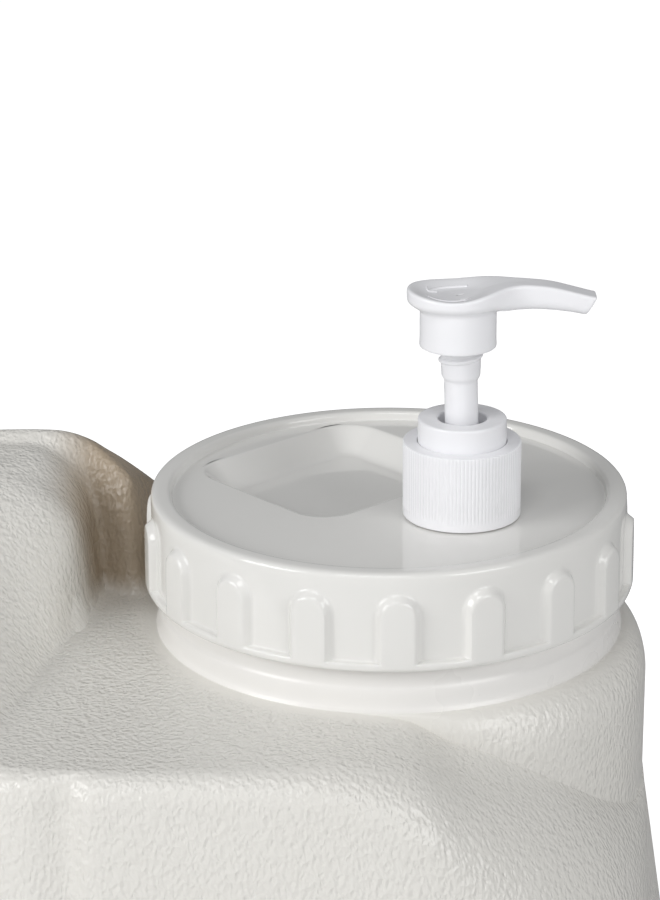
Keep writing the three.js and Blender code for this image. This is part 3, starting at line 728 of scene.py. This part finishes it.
# ---------------------------------------------------------------- head with its spout

HEAD = {"centre": -0.45, "half_long": 13.45, "half_wide": 12.2, "skirt": 10.4, "skirt_bottom": 48.9}
TOP_LINE = np.array([
    (-14, 63.4), (-8, 62.9), (-1, 62.9), (4, 63.7), (8, 65.4),
    (12, 66.5), (19, 66.7), (25, 66.1), (30, 64.8), (38, 62.7),
])
RIM_LINE = np.array([
    (-14, 65.4), (-8, 64.6), (-2, 64.2), (2, 64.5), (6, 65.3), (11, 66.4),
    (15, 66.8), (19, 66.7), (25, 66.1), (30, 64.8), (38, 62.7),
])
UNDER_LINE = np.array([(-14, 60.5), (5, 59.4), (11, 59.2), (21, 59.5), (26, 59.1), (31, 58.4), (38, 56.8)])
SPOUT_HALF_WIDTH = np.array([(5, 5.0), (12, 4.6), (19, 4.0), (30, 3.8), (38, 3.6)])


def along_line(line, x):
    """A smooth curve through a line's points: straight pieces, averaged over a short reach."""
    total = 0
    offsets = (-2.4, -1.2, 0, 1.2, 2.4)
    for offset in offsets:
        total = total + np.interp(x + offset, line[:, 0], line[:, 1])
    return total / len(offsets)


def smooth_max(a, b, k):
    h = np.maximum(k - np.abs(a - b), 0) / k
    return np.maximum(a, b) + h * h * k / 4


def smooth_min(a, b, k):
    return -smooth_max(-a, -b, k)


def head_plan(x, y):
    """Signed distance to the head's outline from above: an ellipse drawn out into the spout."""
    h = HEAD
    ratio = np.hypot((x - h["centre"]) / h["half_long"], y / h["half_wide"])
    plate = (ratio - 1) * math.sqrt(h["half_long"] * h["half_wide"])
    strip = np.maximum(np.abs(y) - np.interp(x, *SPOUT_HALF_WIDTH.T), -x - 2)
    return smooth_min(plate, strip, 6.0)


def head_top(x, y, plan):
    """Height of the dished top, whose rim rises into the spout's deck."""
    inset = smoothstep(-plan, 0.2, 8.0)
    dish = mix(along_line(RIM_LINE, x), along_line(TOP_LINE, x), inset)
    return dish


def head_field(x, y, z):
    """Negative inside the head."""
    h = HEAD
    plan = head_plan(x, y)
    top = z - head_top(x, y, plan)
    on_spout = smoothstep(x, 9, 14)
    cone = 61.6 - 2.1 * np.clip(-plan / 2.8, 0, 1)
    under = mix(cone, along_line(UNDER_LINE, x), on_spout) - z
    body = smooth_max(smooth_max(plan, top, 0.9), under, mix(0.9, 3.2, on_spout))
    tip = (x - 36) * 0.867 - (z - 60.75) * 0.5
    body = smooth_max(body, tip, 0.5)
    away = np.hypot(x, y)
    skirt_radius = h["skirt"] + 0.1 * smoothstep(z, 52, 49)
    skirt = smooth_max(away - skirt_radius, np.maximum(h["skirt_bottom"] - z, z - 62), 0.5)
    solid = smooth_min(body, skirt, 0.8)
    hollow = np.maximum(away - 9.2, z - 58.8)
    solid = smooth_max(solid, -hollow, 0.4)
    socket = np.maximum(away - 6.3, np.maximum(51.7 - z, z - 60))
    solid = smooth_min(solid, socket, 0.5)
    stem_hole = np.maximum(away - 4.5, z - 58.9)
    middle = (along_line(TOP_LINE, x) + along_line(UNDER_LINE, x)) / 2 - 0.2
    channel = np.maximum(np.hypot(y, z - middle) - 1.7, -x - 0.5)
    well = np.maximum(away - 1.7, z - 61.5)
    return smooth_max(solid, -np.minimum(np.minimum(stem_hole, channel), well), 0.4)


def surface_net(field, low, high, step):
    """A quad mesh over the zero surface of a field, one vertex in each cell that it crosses."""
    axes = [np.arange(a, b + step, step) for a, b in zip(low, high)]
    value = field(*np.meshgrid(*axes, indexing="ij"))
    shape = np.array(value.shape) - 1
    total = np.zeros((*shape, 3))
    count = np.zeros(shape)
    for axis in range(3):
        others = [k for k in range(3) if k != axis]
        for da in (0, 1):
            for db in (0, 1):
                start = [slice(0, n) for n in shape]
                start[others[0]] = slice(da, shape[others[0]] + da)
                start[others[1]] = slice(db, shape[others[1]] + db)
                end = list(start)
                end[axis] = slice(1, shape[axis] + 1)
                a, b = value[tuple(start)], value[tuple(end)]
                crosses = (a < 0) != (b < 0)
                t = np.where(crosses, a / np.where(crosses, a - b, 1), 0)
                corner = np.zeros((*shape, 3))
                corner[..., axis] = t
                corner[..., others[0]] = da
                corner[..., others[1]] = db
                total += corner * crosses[..., None]
                count += crosses
    used = count > 0
    number = np.full(shape, -1)
    number[used] = np.arange(used.sum())
    cells = np.argwhere(used)
    verts = np.array(low) + (cells + total[used] / count[used][:, None]) * step
    faces = []
    for axis in range(3):
        b_axis, c_axis = (axis + 1) % 3, (axis + 2) % 3
        inside = value < 0
        near = np.take(inside, range(shape[axis]), axis)
        far = np.take(inside, range(1, shape[axis] + 1), axis)
        edges = np.argwhere(near != far)
        keep = (edges[:, b_axis] > 0) & (edges[:, c_axis] > 0)
        keep &= (edges[:, b_axis] < shape[b_axis]) & (edges[:, c_axis] < shape[c_axis])
        edges = edges[keep]
        outward = near[tuple(edges.T)]
        corners = []
        for db, dc in ((0, 0), (1, 0), (1, 1), (0, 1)):
            cell = edges.copy()
            cell[:, b_axis] -= db
            cell[:, c_axis] -= dc
            corners.append(number[tuple(cell.T)])
        quads = np.stack(corners, 1)
        quads[~outward] = quads[~outward][:, ::-1]
        faces.append(quads)
    return verts, np.concatenate(faces)


def pulled_onto(verts, field, passes=4):
    """Moves each point along the field's slope, onto its zero surface."""
    reach = 0.02
    for _ in range(passes):
        value = field(*verts.T)
        slope = np.stack([
            (field(*(verts + delta).T) - field(*(verts - delta).T)) / (2 * reach)
            for delta in np.eye(3) * reach
        ], 1)
        size = np.maximum((slope**2).sum(1), 0.05)
        verts = verts - np.clip(value / size, -0.3, 0.3)[:, None] * slope
    return verts


def make_head():
    verts, faces = surface_net(head_field, (-15.5, -13.5, 47.5), (40.5, 13.5, 69), 0.36)
    verts = pulled_onto(verts, head_field) + [HEAD_LEAN, 0, 0]
    piece = build((verts, faces.tolist()), "head_spout", PUMP_AXIS, PANEL)
    settle(piece, "head", finish_material("pump_plastic"), ["actuator"])


def make_head_mark():
    """Two raised arcs with arrowheads on the head's dish, which show which way it turns."""
    radius, squash = 7.4, 0.92
    arrow_wide, arrow_long = 1.6, 0.28
    dish_middle = -1
    parts = []
    for start, end in ((200, 300), (60, 160)):
        turn = np.radians(np.linspace(start, end, 40))
        across, along = radius * np.cos(turn) + dish_middle, radius * squash * np.sin(turn)
        parts.append(raised_strip(across, along, 0.42))
        for side in (-1, 1):
            reach = np.linspace(0, 1, 8)
            r = radius + side * arrow_wide * reach
            turn = math.radians(end) - reach * arrow_long
            parts.append(raised_strip(r * np.cos(turn) + dish_middle, r * squash * np.sin(turn), 0.36))
    verts, faces = merged(*parts)
    piece = build((np.asarray(verts) + [HEAD_LEAN, 0, 0], faces), "head_mark", PUMP_AXIS, PANEL)
    settle(piece, "head", finish_material("pump_plastic"))


def raised_strip(x, y, half):
    """A low rounded ridge over the head's top, along a line."""
    dx, dy = np.gradient(x), np.gradient(y)
    size = np.hypot(dx, dy)
    nx, ny = -dy / size, dx / size
    rings = []
    for across, rise in ((-1, -0.25), (-0.85, 0.16), (0, 0.3), (0.85, 0.16), (1, -0.25)):
        px, py = x + nx * half * across, y + ny * half * across
        rings.append(np.stack([px, py, head_top(px, py, head_plan(px, py)) + rise], -1))
    return skin(np.stack(rings, 1), caps=True)


# ---------------------------------------------------------------- materials


def new_material(name):
    material = bpy.data.materials.new(name)
    material.use_nodes = True
    return material, material.node_tree, material.node_tree.nodes["Principled BSDF"]


def add_node(tree, kind, **values):
    node = tree.nodes.new(kind)
    for key, value in values.items():
        if key in node.inputs:
            node.inputs[key].default_value = value
        else:
            setattr(node, key, value)
    return node


def mottled(tree, shader, tones, scale, roughness):
    """Faint cloudy variation of colour and roughness through the plastic."""
    place = add_node(tree, "ShaderNodeTexCoord")
    clouds = add_node(tree, "ShaderNodeTexNoise", Scale=scale, Detail=4.0)
    colours = add_node(tree, "ShaderNodeValToRGB")
    for stop, tone in zip(colours.color_ramp.elements, tones):
        stop.color = (*tone, 1)
    colours.color_ramp.elements[0].position = 0.35
    colours.color_ramp.elements[1].position = 0.65
    worn = add_node(tree, "ShaderNodeMapRange")
    worn.inputs["To Min"].default_value, worn.inputs["To Max"].default_value = roughness
    links = tree.links
    links.new(place.outputs["Object"], clouds.inputs["Vector"])
    links.new(clouds.outputs["Fac"], colours.inputs["Fac"])
    links.new(clouds.outputs["Fac"], worn.inputs["Value"])
    links.new(colours.outputs["Color"], shader.inputs["Base Color"])
    links.new(worn.outputs["Result"], shader.inputs["Roughness"])
    return place, colours


def ramp(tree, value, low, high):
    """A smooth 0 to 1 step of a value between two levels."""
    step = add_node(tree, "ShaderNodeMapRange", interpolation_type="SMOOTHSTEP")
    step.inputs["From Min"].default_value = low
    step.inputs["From Max"].default_value = high
    tree.links.new(value, step.inputs["Value"])
    return step.outputs["Result"]


def product(tree, first, *others):
    for other in others:
        times = add_node(tree, "ShaderNodeMath", operation="MULTIPLY")
        tree.links.new(first, times.inputs[0])
        tree.links.new(other, times.inputs[1])
        first = times.outputs[0]
    return first


# The pocket behind the hump, where shade is painted into the colour, as smooth steps along the axes from
# the neck, in metres.
POCKET_SHADE_PLACE = [
    ("x", (-0.102, -0.084)), ("x", (-0.02, -0.05)),
    ("y", (-0.004, 0.020)), ("y", (0.080, 0.055)),
    ("z", (0.146, 0.156)),
]
# Painted shade: the colour of the pocket's shadow, a dark warm brown.
POCKET_SHADE_COLOUR = (0.43, 0.35, 0.26, 1)
NECK_TONE = (0.90, 0.885, 0.86, 1)
NECK_EDGE = (0.0672, 0.0660)
GRAIN_FROM = (0.0664, 0.074)  # the grain grows to its full depth between these distances


def container_material():
    """Moulded polyethylene with a leather grain, smooth on the neck, with painted shade darkening the
    pocket behind the hump to a warm brown.
    """
    material, tree, shader = new_material("container_plastic")
    links = tree.links
    place, colours = mottled(tree, shader, [(0.800, 0.783, 0.738), (0.811, 0.795, 0.751)], 22, (0.26, 0.29))
    from_neck = add_node(tree, "ShaderNodeMapping")
    from_neck.inputs["Location"].default_value = (-NECK_AXIS[0] * MM, -NECK_AXIS[1] * MM, 0)
    axes = add_node(tree, "ShaderNodeSeparateXYZ")
    flat = add_node(tree, "ShaderNodeVectorMath", operation="MULTIPLY")
    flat.inputs[1].default_value = (1, 1, 0)
    away = add_node(tree, "ShaderNodeVectorMath", operation="LENGTH")
    links.new(place.outputs["Object"], from_neck.inputs["Vector"])
    links.new(from_neck.outputs["Vector"], axes.inputs["Vector"])
    links.new(from_neck.outputs["Vector"], flat.inputs[0])
    links.new(flat.outputs["Vector"], away.inputs[0])
    x, y, z = axes.outputs
    axis = {"x": x, "y": y, "z": z}
    # Painted shade, mixed into the base colour over the pocket behind the hump.
    pocket_shade = product(tree, *(ramp(tree, axis[name], *levels) for name, levels in POCKET_SHADE_PLACE))
    shade_mix = add_node(tree, "ShaderNodeMix", data_type="RGBA")
    shade_mix.inputs[7].default_value = POCKET_SHADE_COLOUR
    links.new(pocket_shade, shade_mix.inputs["Factor"])
    links.new(colours.outputs["Color"], shade_mix.inputs[6])
    neck = add_node(tree, "ShaderNodeMix", data_type="RGBA")
    neck.inputs[7].default_value = NECK_TONE
    links.new(ramp(tree, away.outputs["Value"], *NECK_EDGE), neck.inputs["Factor"])
    links.new(shade_mix.outputs[2], neck.inputs[6])
    links.new(neck.outputs[2], shader.inputs["Base Color"])
    stretch = add_node(tree, "ShaderNodeMapping")
    stretch.inputs["Scale"].default_value = (1, 1, 0.6)
    wander = add_node(tree, "ShaderNodeTexNoise", Scale=380.0, Detail=2.0)
    spread = add_node(tree, "ShaderNodeMix", data_type="VECTOR")
    spread.inputs["Factor"].default_value = 0.0022
    cells = add_node(tree, "ShaderNodeTexVoronoi", feature="SMOOTH_F1", Scale=760.0, Smoothness=0.5)
    bump = add_node(tree, "ShaderNodeBump", Distance=0.00042)
    links.new(place.outputs["Object"], stretch.inputs["Vector"])
    links.new(stretch.outputs["Vector"], wander.inputs["Vector"])
    links.new(stretch.outputs["Vector"], spread.inputs[4])
    links.new(wander.outputs["Color"], spread.inputs[5])
    links.new(spread.outputs[1], cells.inputs["Vector"])
    links.new(cells.outputs["Distance"], bump.inputs["Height"])
    links.new(ramp(tree, away.outputs["Value"], *GRAIN_FROM), bump.inputs["Strength"])
    links.new(bump.outputs["Normal"], shader.inputs["Normal"])
    return material


# For each material: its two tones, the scale of its mottling, its roughness from and to, and the
# scale and depth in metres of its fine unevenness.
FINISH = {
    "lid_plastic": ([(0.840, 0.833, 0.806), (0.847, 0.840, 0.814)], 18, (0.035, 0.055), 60, 0.0001),
    "pump_plastic": ([(0.947, 0.947, 0.970), (0.953, 0.953, 0.977)], 60, (0.25, 0.27), 300, 0.0001),
    "natural_plastic": ([(0.74, 0.76, 0.75), (0.82, 0.84, 0.84)], 70, (0.3, 0.45), 260, 0.0002),
    "gasket_foam": ([(0.62, 0.62, 0.60), (0.78, 0.78, 0.75)], 900, (0.75, 0.95), 1600, 0.0006),
    "spring_steel": ([(0.50, 0.50, 0.52), (0.70, 0.70, 0.70)], 240, (0.22, 0.42), 900, 0.0001),
    "glass_ball": ([(0.80, 0.86, 0.85), (0.90, 0.94, 0.93)], 500, (0.03, 0.08), 900, 0.00005),
}
finished = {}


def finish_material(name, metallic=0, transmission=0):
    """A moulded, drawn or cast material: faint mottling and a slight orange peel."""
    if name in finished:
        return finished[name]
    tones, scale, roughness, peel_scale, peel_depth = FINISH[name]
    material, tree, shader = new_material(name)
    finished[name] = material
    shader.inputs["Metallic"].default_value = metallic
    shader.inputs["Transmission Weight"].default_value = transmission
    place, _ = mottled(tree, shader, tones, scale, roughness)
    peel = add_node(tree, "ShaderNodeTexNoise", Scale=peel_scale, Detail=2.0)
    bump = add_node(tree, "ShaderNodeBump", Strength=0.4, Distance=peel_depth)
    tree.links.new(place.outputs["Object"], peel.inputs["Vector"])
    tree.links.new(peel.outputs["Fac"], bump.inputs["Height"])
    tree.links.new(bump.outputs["Normal"], shader.inputs["Normal"])
    return material


# ---------------------------------------------------------------- pieces inside the pump and the lid


def make_inside(name, body, node, material, part, axis=PUMP_AXIS, base=PANEL):
    """One piece inside the pump or the lid, in place of its CAD node."""
    settle(build(part, name, axis, base), body, material, [node])


def ball(radius, height):
    turn = np.linspace(0, math.pi, 25)[1:-1]
    profile = np.array([(radius * math.sin(t), height - radius * math.cos(t)) for t in turn])
    return skin(lathe(profile, 48), caps=True)


def make_dip_tube():
    """The suction tube, cut slantwise at its foot."""
    outer, bore, top, bottom = 2.9, 2.1, -48.6, -179
    slant = math.tan(math.radians(40))
    corners = [(bore, bottom), (outer, bottom), (outer, top), (bore, top), (bore, bottom)]
    profile = filled(rounded(corners), 3)[:-1]
    rings = lathe(profile, 64)
    rings[..., 2] = np.maximum(rings[..., 2], bottom - 1 - rings[..., 0] * slant)
    natural = finish_material("natural_plastic")
    make_inside("dip_tube_cut", "pump_body", "dip_tube", natural,
                skin(rings, closed=True))


def make_spring():
    """The helical return spring, given a mesh of its own."""
    radius, wire, turns, stroke = 5, 0.55, 6.5, 18.5
    bottom, top = -36.5, -3.2
    t = np.linspace(0, 1, 400)[:, None]
    turn = t * turns * TAU
    around = angles(14)[None, :]
    reach = radius + wire * np.cos(around)
    height = mix(bottom + wire, top - wire, t) + wire * np.sin(around)
    rings = np.stack([reach * np.cos(turn), reach * np.sin(turn), height], -1)
    piece = build(skin(rings, caps=True), "spring_coil", PUMP_AXIS, PANEL)
    steel = finish_material("spring_steel", metallic=1)
    settle(piece, "pump_body", steel, ["return_spring"])
    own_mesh(piece)


def make_insides():
    natural, pump = finish_material("natural_plastic"), finish_material("pump_plastic")
    foam, glass = finish_material("gasket_foam"), finish_material("glass_ball", transmission=0.85)
    under_lid, on_neck = LID_TOP - 5.8, NECK_TOP + 0.3
    make_inside("lid_gasket_ring", "lid_seal", "lid_gasket", foam, turned([
        (58.8, on_neck, 0.35), (62.6, on_neck, 0.35), (62.6, under_lid, 0.35), (58.8, under_lid, 0.35),
    ], 360, 1.4), NECK_AXIS, 0)
    make_inside("collar_gasket_ring", "pump_body", "collar_gasket", foam, turned([
        (8.9, 15.9, 0.25), (12.4, 15.9, 0.25), (12.4, 16.9, 0.25), (8.9, 16.9, 0.25),
    ], 160, 0.6))
    make_inside("housing_turned", "pump_body", "pump_housing", natural, turned([
        (7, 18.4, 0.3), (7, -40.3, 0.6), (3.2, -41, 0.3), (3.2, -44.2, 0.5),
        (1.5, -45.9, 0.2), (1.5, -47.6, 0.2), (3.05, -48, 0.2), (3.05, -57, 0.2),
        (4.3, -57, 0.4), (4.5, -44, 1.5), (8.4, -38, 2), (8.4, 17.2, 0.6),
        (12.4, 17.2, 0.3), (12.4, 18.4, 0.3),
    ], 128, 2.5))
    make_inside("ball_cage_turned", "pump_body", "ball_cage", natural, turned([
        (1.9, -40, 0.2), (6.7, -40, 0.4), (6.7, -36.6, 0.3),
        (5.7, -36.6, 0.3), (5.4, -38.4, 0.4), (1.9, -38.4, 0.3),
    ], 96, 0.8))
    make_inside("piston_turned", "plunger", "piston", natural, turned([
        (3.25, 0, 0.2), (5, 0, 0.5), (6.3, -1.4, 0.15), (6.95, -1.4, 0.1), (6.5, 3, 1),
        (6.5, 6, 1), (6.95, 10, 0.1), (6.3, 10, 0.15), (5.4, 7, 0.6), (3.25, 7, 0.2),
    ], 128, 0.8))
    make_inside("rod_turned", "plunger", "piston_rod", pump, turned([
        (1.5, -2.6, 0.15), (4.4, -2.6, 0.4), (4.4, -1.2, 0.3), (3.1, -0.6, 0.3),
        (3.1, 11.4, 0.3), (2.1, 11.7, 0.2), (2.1, 20, 0.2), (1.5, 20, 0.15),
    ], 96, 1.2))
    make_inside("inlet_ball_round", "inlet_ball", "inlet_ball", glass, ball(2.5, -43.8))
    verts, faces = ball(1.9, 55.08)
    make_inside("outlet_ball_round", "outlet_ball", "outlet_ball", glass,
                (np.asarray(verts) + [HEAD_LEAN, 0, 0], faces))
    make_dip_tube()


# ---------------------------------------------------------------- the scene

make_camera()
make_stage()
make_container()
make_lid()
make_collar()
make_lock_ring()
make_stem()
make_head()
make_head_mark()
make_insides()
make_spring()
